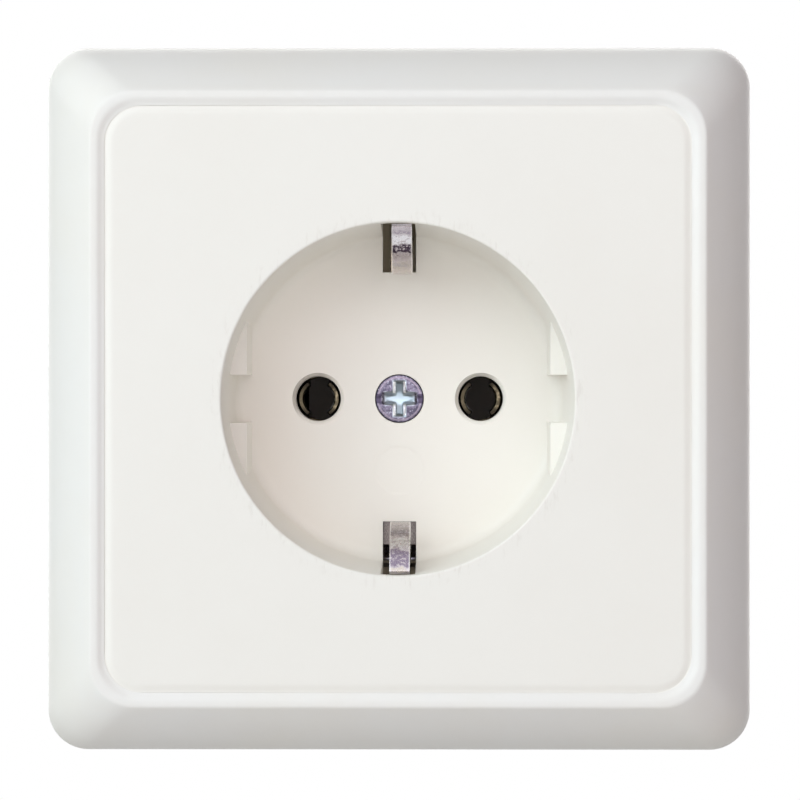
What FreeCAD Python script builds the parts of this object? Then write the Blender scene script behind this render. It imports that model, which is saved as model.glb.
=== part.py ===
import FreeCAD
import Part
import math
import os
import re
import Sketcher

# Flush type F wall socket, one gang, in its own frame: +X right, +Y into the wall, +Z up.
# The origin is on the axis of the round well, in the plane of the wall. Sizes in millimetres.

DRIVING = {
    # cover frame
    "frame_side": (80.5, "side of the frame at the wall"),
    "frame_corner": (4.6, "corner radius of the frame at the wall"),
    "frame_height": (10.8, "crest of the bead above the wall"),
    "frame_wall": (2.0, "wall of the frame"),
    "crest_inset": (5.7, "crest inside the side of the frame"),
    "crest_corner": (5.0, "corner radius at the crest"),
    "bevel_curve": (1.7, "power of the convex bevel"),
    "bead_top": (0.6, "width of the bead's top with its bevelled edges"),
    "bead_slope": (1.0, "width of the slope inside the bead"),
    "bead_rise": (0.4, "height of the slope inside the bead"),
    "bead_round": (0.22, "bevelled edges of the bead"),
    "ledge_width": (4.9, "ledge that carries the centre plate"),
    "ledge_thick": (1.6, "thickness of that ledge"),
    # centre plate with the well
    "plate_gap": (0.15, "gap between centre plate and frame"),
    "plate_corner": (4.0, "corner radius of the centre plate"),
    "plate_thick": (2.0, "thickness of the centre plate"),
    "plate_round": (0.3, "bevelled edge of the plate"),
    "face_height": (10.2, "face of the centre plate above the wall"),
    "well_radius": (20.0, "well at its rim"),
    "well_draft": (0.9, "how much narrower the well is at its floor"),
    "well_depth": (17.5, "depth of the well"),
    "well_wall": (1.6, "wall of the well"),
    "well_floor": (2.0, "floor of the well"),
    "rim_round": (0.3, "bevelled rim"),
    "skirt_thick": (1.2, "skirt behind the plate"),
    "skirt_reach": (3.0, "depth of that skirt"),
    "skirt_gap": (0.3, "skirt inside the ledge"),
    "pin_spacing": (19.0, "distance between the pins"),
    "pin_hole": (2.8, "radius of the pin holes"),
    "slot_width": (3.9, "slots of the earth clips"),
    "slot_clear": (0.45, "slots past the innermost point of a clip"),
    "slot_lip": (0.8, "rim left above those slots"),
    "guide_ledge": (8.0, "depth of the ledges of the guide pads"),
    "guide_rise": (2.65, "guide pads at their ledge, in from the rim"),
    "guide_draft": (0.4, "draft of their faces"),
    "guide_gap": (5.5, "channel between two guide pads"),
    "mark_radius": (2.85, "round mould mark on the floor"),
    "mark_drop": (8.4, "mould mark below the axis"),
    "mark_depth": (0.08, "depth of the mould mark"),
    "boss_radius": (4.0, "boss behind the floor, round the screw"),
    "boss_reach": (1.2, "depth of that boss"),
    # centre screw and its bush
    "head_radius": (2.8, "head of the centre screw"),
    "head_thick": (2.0, "thickness of that head"),
    "head_sink": (0.1, "head below the floor of the well"),
    "head_gap": (0.12, "head in its counterbore"),
    "head_chamfer": (0.3, "chamfer of the head"),
    "shank_radius": (1.5, "shank of the centre screw"),
    "shank_length": (8.0, "length of that shank"),
    "shank_gap": (0.15, "shank in the holes that it passes"),
    "thread_gap": (0.03, "thread in its bush"),
    "slot_blade": (1.0, "straight slot across the head"),
    "slot_sink": (0.7, "depth of the straight slot"),
    "cross_width": (1.25, "arms of the cross recess"),
    "cross_length": (4.0, "span of the cross recess"),
    "cross_depth": (1.3, "depth of the cross recess"),
    "bush_radius": (2.5, "threaded bush"),
    "bush_length": (7.0, "length of the bush"),
    "bush_gap": (0.03, "bush in the base"),
    # earth strap
    "strap_thick": (0.8, "sheet of the earth strap"),
    "strap_gap": (0.7, "strap beside the contacts"),
    "clip_width": (2.3, "width of the earth clips"),
    "clip_rise": (5.7, "innermost point of a clip, in from the rim"),
    "clip_depth": (10.0, "depth of that point below the face"),
    "clip_curve": (9.6, "outer limb's radius"),
    "clip_turn": (62.0, "outer limb's turn in degrees"),
    "heel_curve": (14.0, "inner limb's radius"),
    "leg_width": (7.2, "terminal leg of the strap and tabs of the contacts"),
    # contacts
    "sheet": (0.8, "sheet of the contacts"),
    "sleeve_wall": (0.6, "wall of the sprung sleeves"),
    "sleeve_bore": (2.25, "sleeve bore at rest"),
    "sleeve_mouth": (2.7, "flared mouth of the sleeve"),
    "sleeve_turn": (116.0, "turn of each half of the sleeve in degrees"),
    "sleeve_front": (0.4, "mouth behind the floor of the well"),
    "sleeve_length": (10.5, "length of the sleeve"),
    "flare_length": (1.5, "length of the flare"),
    "spring_thick": (0.5, "backing spring"),
    "spring_width": (3.0, "width of the backing spring"),
    "spring_place": (5.0, "backing spring behind the sleeve's mouth"),
    "spring_gap": (0.05, "backing spring round the sleeve"),
    "spring_open": (50.0, "open part of the backing spring in degrees"),
    # terminals
    "clamp_room": (0.7, "clamp plates past the posts of the rear cover"),
    "wire_gap": (1.8, "room for a wire between tab and clamp plate"),
    "clamp_thick": (1.5, "clamp plate"),
    "clamp_side": (6.2, "side of the clamp plate"),
    "grip_radius": (1.75, "terminal screw"),
    "grip_length": (4.9, "length of its shank"),
    "grip_head": (3.1, "its head"),
    "grip_head_thick": (2.2, "thickness of its head"),
    "grip_slot": (0.9, "slot in its head"),
    "grip_gap": (0.15, "terminal screw in the tab"),
    # base and rear cover
    "base_gap": (0.4, "well in the base"),
    "base_wall": (2.5, "wall of the base"),
    "base_room": (0.6, "terminals in front of the rear cover"),
    "flat_cut": (1.9, "side flats cut into the base"),
    "chamber_side": (9.2, "width of the contact chambers"),
    "chamber_gap": (0.4, "room round contacts and terminals"),
    "cover_thick": (2.0, "rear cover"),
    "cover_inset": (0.4, "rear cover inside the base's outline"),
    "window_side": (5.0, "wire windows, along the radius"),
    "window_span": (8.4, "wire windows, across the radius"),
    "post_half": (3.0, "half the length of the posts that press on the contacts"),
    "post_inside": (2.8, "those posts beside the pin, from its axis"),
    "post_thick": (1.2, "thickness of those posts"),
    "fixing_radius": (1.25, "screws of the rear cover"),
    "fixing_length": (8.0, "length of those screws in the base"),
    "fixing_head": (2.4, "their heads"),
    "fixing_head_thick": (1.4, "thickness of their heads"),
    "fixing_inset": (5.4, "those screws inside the base's radius"),
    "fixing_gap": (0.1, "those screws in their holes"),
    # support ring
    "ring_margin": (4.75, "support ring inside the side of the frame"),
    "ring_cut": (9.0, "cut corners of the ring"),
    "ring_thick": (1.2, "sheet of the ring"),
    "ring_gap": (0.6, "well in the ring"),
    "box_spacing": (60.0, "screws of the wall box"),
    "box_slot_width": (4.2, "slots for those screws"),
    "box_slot_length": (7.0, "length of those slots"),
    "key_radius": (3.9, "wide end of the keyholes"),
    "ear_radius": (3.0, "ears of the base"),
    "ear_depth": (4.0, "depth of the ears"),
    "ear_reach": (1.1, "rivets outside the base's radius"),
    "rivet_radius": (1.5, "rivets"),
    "rivet_bore": (0.9, "bore of the hollow rivets"),
    "rivet_head": (2.4, "heads of the rivets"),
    "rivet_head_thick": (0.7, "thickness of those heads"),
    "rivet_gap": (0.05, "rivets in their holes"),
}

# Sizes that follow from the driving ones. Depths are measured along Y, so a depth in front of
# the wall is negative.
WORKED = {
    "face": "0 - face_height",
    "crest": "0 - frame_height",
    "shoulder": "crest + bead_round",
    "crest_side": "frame_side - 2 * crest_inset",
    "bead_side": "crest_side - 2 * bead_top",
    "opening_side": "bead_side - 2 * bead_slope",
    "opening_corner": "plate_corner + plate_gap",
    "bead_corner": "opening_corner + bead_slope / 2",
    "plate_side": "opening_side - 2 * plate_gap",
    "plate_back": "plate_thick - face_height",
    "ledge_back": "plate_back + ledge_thick",
    "ledge_side": "max(opening_side - 2 * ledge_width; 2 * well_outside + 4 * skirt_thick)",
    "skirt_side": "ledge_side - 2 * skirt_gap",
    "floor_front": "well_depth - face_height",
    "floor_back": "floor_front + well_floor",
    "floor_radius": "well_radius - well_draft",
    "well_outside": "well_radius + well_wall",
    "ledge_depth": "guide_ledge - face_height",
    "guide_face": "well_radius - guide_rise",
    "clip_reach": "well_radius - clip_rise",
    "slot_start": "clip_reach + slot_clear",
    "head_front": "floor_front + head_sink",
    "head_seat": "head_front + head_thick",
    "strap_front": "floor_back + boss_reach",
    "shelf": "strap_front + strap_thick",
    "pin_place": "pin_spacing / 2",
    "strap_half": "pin_place - sleeve_mouth - sleeve_wall - strap_gap",
    "apex": "clip_depth - face_height",
    "heel_axis": "clip_reach + heel_curve",
    "heel_end": "heel_axis - sqrt((heel_curve - strap_thick) ^ 2 - (strap_front - apex) ^ 2)",
    "heel_turn": "asin((strap_front - apex) / (heel_curve - strap_thick))",
    "mouth": "floor_back + sleeve_front",
    "sleeve_back": "mouth + sleeve_length",
    "strip_back": "sleeve_back + sheet",
    "sleeve_outside": "sleeve_bore + sleeve_wall",
    "spring_outside": "sleeve_outside + spring_gap + spring_thick",
    "pin_room": "sleeve_bore + sleeve_wall / 2",
    "clamp_inside": "pin_place + post_half + clamp_room",
    "clamp_outside": "clamp_inside + clamp_thick",
    "terminal_reach": "clamp_outside + wire_gap",
    "tab_outside": "terminal_reach + sheet",
    "grip_half": "max(grip_head; clamp_side / 2)",
    "grip_place": "strip_back + chamber_gap + grip_half",
    "tab_back": "grip_place + grip_half",
    "base_depth": "tab_back + base_room",
    "grip_end": "tab_outside - grip_length",
    "grip_top": "tab_outside + grip_head_thick",
    "bore_radius": "well_outside + base_gap",
    "base_radius": "bore_radius + base_wall",
    "base_flat": "max(base_radius - flat_cut; chamber_outside + chamber_gap)",
    "fixing_place": "(base_radius - fixing_inset) * sqrt(0.5)",
    "chamber_inside": "pin_place - spring_outside - chamber_gap",
    "chamber_step": "pin_place + spring_outside + chamber_gap",
    "chamber_outside": "grip_top + chamber_gap",
    "leg_chamber": "grip_end - chamber_gap",
    "cover_back": "base_depth + cover_thick",
    "cover_radius": "base_radius - cover_inset",
    "ring_side": "frame_side - 2 * ring_margin",
    "ring_hole": "well_outside + ring_gap",
    "box_place": "box_spacing / 2",
    "ear_each": "(base_radius + ear_reach) * sqrt(0.5)",
    "rivet_top": "0 - ring_thick - rivet_head_thick",
}

doc = FreeCAD.newDocument("type_f_socket")
sheet = doc.addObject("Spreadsheet::Sheet", "Sizes")
for row, (word, (number, meaning)) in enumerate(DRIVING.items(), start=1):
    sheet.set(f"A{row}", meaning)
    sheet.set(f"B{row}", str(number))
    sheet.setAlias(f"B{row}", word)
doc.recompute()


def sized(text):
    # A size in words, as an expression that reads the sheet
    def swap(match):
        word = match.group()
        if word in WORKED:
            return "(" + sized(WORKED[word]) + ")"
        return "Sizes." + word if word in DRIVING else word

    return re.sub(r"[a-z_]+", swap, text)


def mm(text):
    # The number that such a size has now
    found = sheet.evalExpression(sized(text))
    return float(getattr(found, "Value", found))


def bind(feature, name, text):
    feature.setExpression(name, sized(text))


def new_body(name):
    body = doc.addObject("PartDesign::Body", name)
    body.Label = name
    return body


def sketch_on(body, role, height="0", across="0", up="0"):
    # A sketch on one of the body's own planes, lifted along the plane's normal
    sketch = body.newObject("Sketcher::SketchObject", "sketch")
    plane = [item for item in body.Origin.OriginFeatures if item.Role == role][0]
    sketch.AttachmentSupport = (plane, [""])
    sketch.MapMode = "FlatFace"
    for name, text in (("x", across), ("y", up), ("z", height)):
        if text != "0":
            bind(sketch, ".AttachmentOffset.Base." + name, text)
    return sketch


def at_depth(body, depth, across="0", up="0"):
    # The plane that faces the viewer, X across and Z up, at this depth along Y
    return sketch_on(body, "XZ_Plane", f"0 - ({depth})", across, up)


def measure(sketch, kind, text, *points):
    index = sketch.addConstraint(Sketcher.Constraint(kind, *points, mm(text)))
    bind(sketch, f"Constraints[{index}]", text)


def locate(sketch, item, end, across, up):
    measure(sketch, "DistanceX", across, -1, 1, item, end)
    measure(sketch, "DistanceY", up, -1, 1, item, end)


def circle(sketch, radius, across="0", up="0"):
    centre = FreeCAD.Vector(mm(across), mm(up), 0)
    item = sketch.addGeometry(Part.Circle(centre, FreeCAD.Vector(0, 0, 1), mm(radius)), False)
    measure(sketch, "Radius", radius, item)
    locate(sketch, item, 3, across, up)


def outline(sketch, points):
    # Closed outline of straight edges through points given in words
    spots = [FreeCAD.Vector(mm(across), mm(up), 0) for across, up in points]
    first = None
    for number, spot in enumerate(spots):
        following = spots[(number + 1) % len(spots)]
        item = sketch.addGeometry(Part.LineSegment(spot, following), False)
        first = item if first is None else first
        if number:
            sketch.addConstraint(Sketcher.Constraint("Coincident", item - 1, 2, item, 1))
    sketch.addConstraint(Sketcher.Constraint("Coincident", first + len(spots) - 1, 2, first, 1))
    for number, (across, up) in enumerate(points):
        locate(sketch, first + number, 1, across, up)


def box_outline(sketch, left, right, low, high):
    outline(sketch, [(left, low), (right, low), (right, high), (left, high)])


def rounded(sketch, width, height, corner, across="0", up="0"):
    # Rectangle with round corners, about a given centre
    left, right = mm(f"({across}) - ({width}) / 2"), mm(f"({across}) + ({width}) / 2")
    low, high = mm(f"({up}) - ({height}) / 2"), mm(f"({up}) + ({height}) / 2")
    size = mm(corner)
    corners = [
        (right - size, low + size, -90), (right - size, high - size, 0),
        (left + size, high - size, 90), (left + size, low + size, 180),
    ]
    runs = [
        ((left + size, low), (right - size, low)), ((right, low + size), (right, high - size)),
        ((right - size, high), (left + size, high)), ((left, high - size), (left, low + size)),
    ]
    first = None
    for run, (x, y, start) in zip(runs, corners):
        ends = [FreeCAD.Vector(*end, 0) for end in run]
        line = sketch.addGeometry(Part.LineSegment(*ends), False)
        turn = Part.Circle(FreeCAD.Vector(x, y, 0), FreeCAD.Vector(0, 0, 1), size)
        arc = Part.ArcOfCircle(turn, math.radians(start), math.radians(start + 90))
        sketch.addGeometry(arc, False)
        first = line if first is None else first
    for step in range(8):
        here, following = first + step, first + (step + 1) % 8
        sketch.addConstraint(Sketcher.Constraint("Tangent", here, 2, following, 1))
    for step, direction in ((0, "Horizontal"), (2, "Vertical"), (4, "Horizontal"), (6, "Vertical")):
        sketch.addConstraint(Sketcher.Constraint(direction, first + step))
    for step in (3, 5, 7):
        sketch.addConstraint(Sketcher.Constraint("Equal", first + 1, first + step))
    measure(sketch, "Radius", corner, first + 1)
    measure(sketch, "DistanceX", f"({across}) + ({width}) / 2", -1, 1, first + 2, 1)
    measure(sketch, "DistanceX", f"({across}) - ({width}) / 2", -1, 1, first + 6, 1)
    measure(sketch, "DistanceY", f"({up}) - ({height}) / 2", -1, 1, first, 1)
    measure(sketch, "DistanceY", f"({up}) + ({height}) / 2", -1, 1, first + 4, 1)


def slotted(sketch, length, width, across, up):
    # Slot along X with round ends, about a given centre
    radius = mm(f"{width} / 2")
    ends = [f"({across}) {sign} ({length} - {width}) / 2" for sign in ("+", "-")]
    right, left = [FreeCAD.Vector(mm(end), mm(up), 0) for end in ends]
    side = FreeCAD.Vector(0, radius, 0)
    normal, quarter = FreeCAD.Vector(0, 0, 1), math.pi / 2
    first = sketch.addGeometry(Part.LineSegment(left - side, right - side), False)
    bend = Part.Circle(right, normal, radius)
    sketch.addGeometry(Part.ArcOfCircle(bend, -quarter, quarter), False)
    sketch.addGeometry(Part.LineSegment(right + side, left + side), False)
    bend = Part.Circle(left, normal, radius)
    sketch.addGeometry(Part.ArcOfCircle(bend, quarter, 3 * quarter), False)
    for step in range(4):
        here, following = first + step, first + (step + 1) % 4
        sketch.addConstraint(Sketcher.Constraint("Tangent", here, 2, following, 1))
    sketch.addConstraint(Sketcher.Constraint("Equal", first + 1, first + 3))
    measure(sketch, "Radius", f"{width} / 2", first + 1)
    locate(sketch, first + 1, 3, ends[0], up)
    locate(sketch, first + 3, 3, ends[1], up)


def extrude(body, kind, sketch, length, reverse=False):
    feature = body.newObject("PartDesign::" + kind, kind.lower())
    feature.Profile = sketch
    bind(feature, "Length", length)
    feature.Reversed = reverse


def pad(body, sketch, length):
    # A pad of a sketch that faces the viewer grows towards the viewer
    extrude(body, "Pad", sketch, length)


def pocket(body, sketch, length, forward=False):
    # A pocket cuts against the sketch's normal, or along it, and has to take something off
    doc.recompute()
    before = body.Shape.Volume
    extrude(body, "Pocket", sketch, length, forward)
    doc.recompute()
    if not body.Shape.Volume < before - 1e-4:
        raise RuntimeError(f"a pocket in {body.Label} cuts nothing")


def turn(body, kind, sketch, axis, angle="360", both=False, reverse=False):
    feature = body.newObject("PartDesign::" + kind, kind.lower())
    feature.Profile = sketch
    feature.ReferenceAxis = (sketch, [axis])
    bind(feature, "Angle", angle)
    feature.Midplane = both
    feature.Reversed = reverse
    return feature


def loft(body, kind, sketches):
    # Straight walls from each section to the next
    feature = body.newObject("PartDesign::" + kind, kind.lower())
    feature.Profile = sketches[0]
    feature.Sections = sketches[1:]
    feature.Ruled = True


def steps(body, kind, levels):
    # Straight walls between rounded squares, each given by depth, side and corner
    sections = []
    for depth, side, corner in levels:
        section = at_depth(body, depth)
        rounded(section, side, side, corner)
        sections.append(section)
    loft(body, kind, sections)


def chamfer(body, size, wanted):
    # Chamfers every edge of the body so far that passes the test
    doc.recompute()
    base = body.Tip
    names = [f"Edge{n}" for n, edge in enumerate(base.Shape.Edges, start=1) if wanted(edge)]
    if not names:
        raise RuntimeError(f"no edge to chamfer in {body.Label}")
    feature = body.newObject("PartDesign::Chamfer", "chamfer")
    feature.Base = (base, names)
    bind(feature, "Size", size)


def lies_at(edge, depth):
    # Whether an edge lies in the plane at this depth
    box = edge.BoundBox
    return abs(box.YMin - depth) < 1e-4 and abs(box.YMax - depth) < 1e-4


def stand(body, quarter_turns):
    # Turns a piece about the axis of the well: 0 right, 1 down, 2 left
    body.Placement = FreeCAD.Placement(
        FreeCAD.Vector(0, 0, 0), FreeCAD.Rotation(FreeCAD.Vector(0, 1, 0), 90 * quarter_turns)
    )


def cover_frame():
    # A shell with a convex bevel, a raised bead round its opening and a ledge for the plate
    body = new_body("cover_frame")
    levels = [(
        f"shoulder * {share}",
        f"frame_side - 2 * crest_inset * {share} ^ bevel_curve",
        f"frame_corner + (crest_corner - frame_corner) * {share}",
    ) for share in (0, 0.35, 0.7, 1)]
    levels.append(("crest", "crest_side - 2 * bead_round", "crest_corner - bead_round"))
    steps(body, "AdditiveLoft", levels)
    hollow, inset = "frame_side - 2 * frame_wall", "crest_inset * (ledge_back / crest) ^ bevel_curve"
    steps(body, "SubtractiveLoft", [
        ("0", hollow, "frame_corner - frame_wall"),
        ("ledge_back", f"{hollow} - 2 * {inset}", "frame_corner - frame_wall"),
    ])
    inside = at_depth(body, "plate_back")
    rounded(inside, "ledge_side", "ledge_side", "plate_corner - skirt_thick")
    pocket(body, inside, "ledge_thick")
    seat = at_depth(body, "crest")
    rounded(seat, "opening_side", "opening_side", "opening_corner")
    pocket(body, seat, "plate_back - crest")
    slope = ("shoulder", "bead_side", "bead_corner")
    steps(body, "SubtractiveLoft", [slope, ("crest + bead_rise", "opening_side", "opening_corner")])
    steps(body, "SubtractiveLoft", [
        ("crest", "bead_side + 2 * bead_round", "bead_corner + bead_round"), slope,
    ])
    return body


def centre_plate():
    # Plate, round well, guide pads and boss are one moulding
    body = new_body("centre_plate")
    plate = at_depth(body, "plate_back")
    rounded(plate, "plate_side", "plate_side", "plate_corner")
    pad(body, plate, "plate_thick")
    chamfer(body, "plate_round", lambda edge: lies_at(edge, mm("face")))
    skirt = at_depth(body, "plate_back + skirt_reach")
    rounded(skirt, "skirt_side", "skirt_side", "plate_corner - skirt_thick - skirt_gap")
    inner = "skirt_side - 2 * skirt_thick"
    rounded(skirt, inner, inner, "(plate_corner - skirt_thick - skirt_gap) / 2")
    pad(body, skirt, "skirt_reach")
    cup = at_depth(body, "floor_back")
    circle(cup, "well_outside")
    pad(body, cup, "floor_back - plate_back")
    boss = at_depth(body, "strap_front")
    circle(boss, "boss_radius")
    pad(body, boss, "boss_reach")
    # the well: a drafted bore with a bevelled rim
    rings = []
    for depth, radius in (
        ("face", "well_radius + rim_round"), ("face + rim_round", "well_radius"),
        ("floor_front", "floor_radius"),
    ):
        ring = at_depth(body, depth)
        circle(ring, radius)
        rings.append(ring)
    loft(body, "SubtractiveLoft", rings)
    # four guide pads, two each side, with a channel between them
    for side in (1, -1):
        for half in (1, -1):
            sections = []
            for depth, reach in (("floor_front", "guide_face - guide_draft"), ("ledge_depth", "guide_face")):
                section = at_depth(body, depth)
                guide_outline(section, reach, side, half)
                sections.append(section)
            loft(body, "AdditiveLoft", sections)
    holes = at_depth(body, "floor_front")
    for side in (1, -1):
        circle(holes, "pin_hole", f"pin_place * {side}")
    pocket(body, holes, "well_floor")
    counterbore = at_depth(body, "floor_front")
    circle(counterbore, "head_radius + head_gap")
    pocket(body, counterbore, "head_seat - floor_front")
    passage = at_depth(body, "head_seat")
    circle(passage, "shank_radius + shank_gap")
    pocket(body, passage, "strap_front - head_seat")
    mark = at_depth(body, "floor_front")
    circle(mark, "mark_radius", "0", "0 - mark_drop")
    pocket(body, mark, "mark_depth")
    # the slots of the earth clips go through the wall and the floor
    slots = at_depth(body, "face + slot_lip")
    for side in (1, -1):
        ends = ("slot_start", "well_outside + well_wall")
        low, high = (ends if side > 0 else (f"0 - ({ends[1]})", f"0 - ({ends[0]})"))
        box_outline(slots, "0 - slot_width / 2", "slot_width / 2", low, high)
    pocket(body, slots, "floor_back - face - slot_lip")
    return body


def guide_outline(section, reach, side, half):
    # Flat face, channel side and a piece of the well's wall
    wall = "well_radius + well_wall / 2"
    channel = "guide_gap / 2"
    near = f"sqrt(({wall}) ^ 2 - ({channel}) ^ 2)"
    end = f"sqrt(({wall}) ^ 2 - ({reach}) ^ 2)"
    spots = [(reach, channel), (near, channel), (reach, end)]
    spots = [(f"({x}) * {side}", f"({z}) * {half}") for x, z in spots]
    face, corner, tail = [FreeCAD.Vector(mm(x), mm(z), 0) for x, z in spots]
    bottom = section.addGeometry(Part.LineSegment(face, corner), False)
    middle = (corner + tail)
    middle = middle * (mm(wall) / middle.Length)
    bend = section.addGeometry(Part.Arc(corner, middle, tail), False)
    flat = section.addGeometry(Part.LineSegment(tail, face), False)
    ends = (1, 2) if side * half > 0 else (2, 1)
    section.addConstraint(Sketcher.Constraint("Coincident", bottom, 2, bend, ends[0]))
    section.addConstraint(Sketcher.Constraint("Coincident", bend, ends[1], flat, 1))
    section.addConstraint(Sketcher.Constraint("Coincident", flat, 2, bottom, 1))
    locate(section, bottom, 1, *spots[0])
    locate(section, bottom, 2, *spots[1])
    locate(section, flat, 1, *spots[2])
    measure(section, "Radius", wall, bend)


def centre_screw():
    # Cylinder head with a slot across it and a cross recess
    body = new_body("centre_screw")
    head = at_depth(body, "head_seat")
    circle(head, "head_radius")
    pad(body, head, "head_thick")
    chamfer(body, "head_chamfer", lambda edge: lies_at(edge, mm("head_front")))
    shank = at_depth(body, "head_seat + shank_length")
    circle(shank, "shank_radius")
    pad(body, shank, "shank_length")
    blade = at_depth(body, "head_front")
    box_outline(blade, "0 - head_radius - head_chamfer", "head_radius + head_chamfer",
                "0 - slot_blade / 2", "slot_blade / 2")
    pocket(body, blade, "slot_sink")
    for width, height in (("cross_width", "cross_length"), ("cross_length", "cross_width")):
        arm = at_depth(body, "head_front")
        box_outline(arm, f"0 - {width} / 2", f"{width} / 2", f"0 - {height} / 2", f"{height} / 2")
        pocket(body, arm, "cross_depth")
    return body


def screw_bush():
    body = new_body("screw_bush")
    bush = at_depth(body, "shelf + bush_length")
    circle(bush, "bush_radius")
    circle(bush, "shank_radius + thread_gap")
    pad(body, bush, "bush_length")
    return body


def earth_strap():
    # One bent strap: both clips, the bridge behind the floor and the leg of the terminal
    body = new_body("earth_strap")
    bridge = at_depth(body, "shelf")
    narrow, wide, leg = "clip_width / 2", "strap_half", "leg_width / 2"
    right_side = [
        (narrow, "heel_end"), (narrow, "slot_start"), (wide, "slot_start - strap_half"),
        (wide, "0 - (slot_start - strap_half)"), (leg, "0 - slot_start"),
        (leg, "0 - tab_outside"), (narrow, "0 - tab_outside"), (narrow, "0 - heel_end"),
    ]
    left_side = [(f"0 - ({x})", z) for x, z in reversed(right_side)]
    outline(bridge, left_side + right_side)
    circle(bridge, "shank_radius + shank_gap")
    pad(body, bridge, "strap_thick")
    tab = sketch_on(body, "XY_Plane", "0 - tab_outside")
    box_outline(tab, f"0 - {leg}", leg, "strap_front", "tab_back")
    circle(tab, "grip_radius + grip_gap", "0", "grip_place")
    pad(body, tab, "strap_thick")
    # the clips: a flat section turned about one axis for each limb
    limbs = []
    for curve, angle, outwards in (("clip_curve", "clip_turn", True), ("heel_curve", "heel_turn", False)):
        section = at_depth(body, "apex", "0", f"clip_reach + {curve}")
        box_outline(section, "0 - clip_width / 2", "clip_width / 2", f"0 - {curve}", f"strap_thick - {curve}")
        limbs.append(turn(body, "Revolution", section, "H_Axis", angle, reverse=outwards))
    doc.recompute()
    mirror = body.newObject("PartDesign::Mirrored", "mirrored")
    mirror.Originals = limbs
    plane = [item for item in body.Origin.OriginFeatures if item.Role == "XY_Plane"][0]
    mirror.MirrorPlane = (plane, [""])
    body.Tip = mirror
    return body


def contact(name, quarter_turns):
    # Two sprung half sleeves on a strip, open behind for the pin's end, with the terminal tab
    body = new_body(name)
    strip = at_depth(body, "strip_back")
    box_outline(strip, "pin_place - leg_width / 2", "tab_outside", "0 - leg_width / 2", "leg_width / 2")
    circle(strip, "pin_room", "pin_place")
    pad(body, strip, "sheet")
    tab = sketch_on(body, "YZ_Plane", "terminal_reach")
    box_outline(tab, "sleeve_back", "tab_back", "0 - leg_width / 2", "leg_width / 2")
    circle(tab, "grip_radius + grip_gap", "grip_place", "0")
    pad(body, tab, "sheet")
    for side in (1, -1):
        half = sketch_on(body, "XY_Plane", "0", "pin_place")
        inner = [
            ("sleeve_mouth", "mouth"), ("sleeve_bore", "mouth + flare_length"),
            ("sleeve_bore", "sleeve_back"),
        ]
        outer = [(f"{radius} + sleeve_wall", depth) for radius, depth in reversed(inner)]
        outline(half, [(f"({radius}) * {side}", depth) for radius, depth in inner + outer])
        turn(body, "Revolution", half, "V_Axis", "sleeve_turn", both=True)
    stand(body, quarter_turns)
    return body


def contact_spring(name, quarter_turns):
    # Open steel ring that presses the two half sleeves together
    body = new_body(name)
    ring = sketch_on(body, "XY_Plane", "0", "pin_place")
    start = "mouth + spring_place"
    inside = "0 - sleeve_outside - spring_gap"
    box_outline(ring, "0 - spring_outside", inside, start, f"{start} + spring_width")
    turn(body, "Revolution", ring, "V_Axis", "360 - spring_open", both=True)
    stand(body, quarter_turns)
    return body


def terminal_screw(name, quarter_turns):
    body = new_body(name)
    shank = sketch_on(body, "YZ_Plane", "grip_end")
    circle(shank, "grip_radius", "grip_place", "0")
    pad(body, shank, "grip_length")
    head = sketch_on(body, "YZ_Plane", "tab_outside")
    circle(head, "grip_head", "grip_place", "0")
    pad(body, head, "grip_head_thick")
    blade = sketch_on(body, "YZ_Plane", "grip_top")
    box_outline(blade, "grip_place - grip_head", "grip_place + grip_head",
                "0 - grip_slot / 2", "grip_slot / 2")
    pocket(body, blade, "grip_head_thick / 2")
    stand(body, quarter_turns)
    return body


def clamp_plate(name, quarter_turns):
    body = new_body(name)
    plate = sketch_on(body, "YZ_Plane", "clamp_inside")
    half = "clamp_side / 2"
    box_outline(plate, f"grip_place - {half}", f"grip_place + {half}", f"0 - {half}", half)
    circle(plate, "grip_radius + thread_gap", "grip_place", "0")
    pad(body, plate, "clamp_thick")
    stand(body, quarter_turns)
    return body


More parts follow.
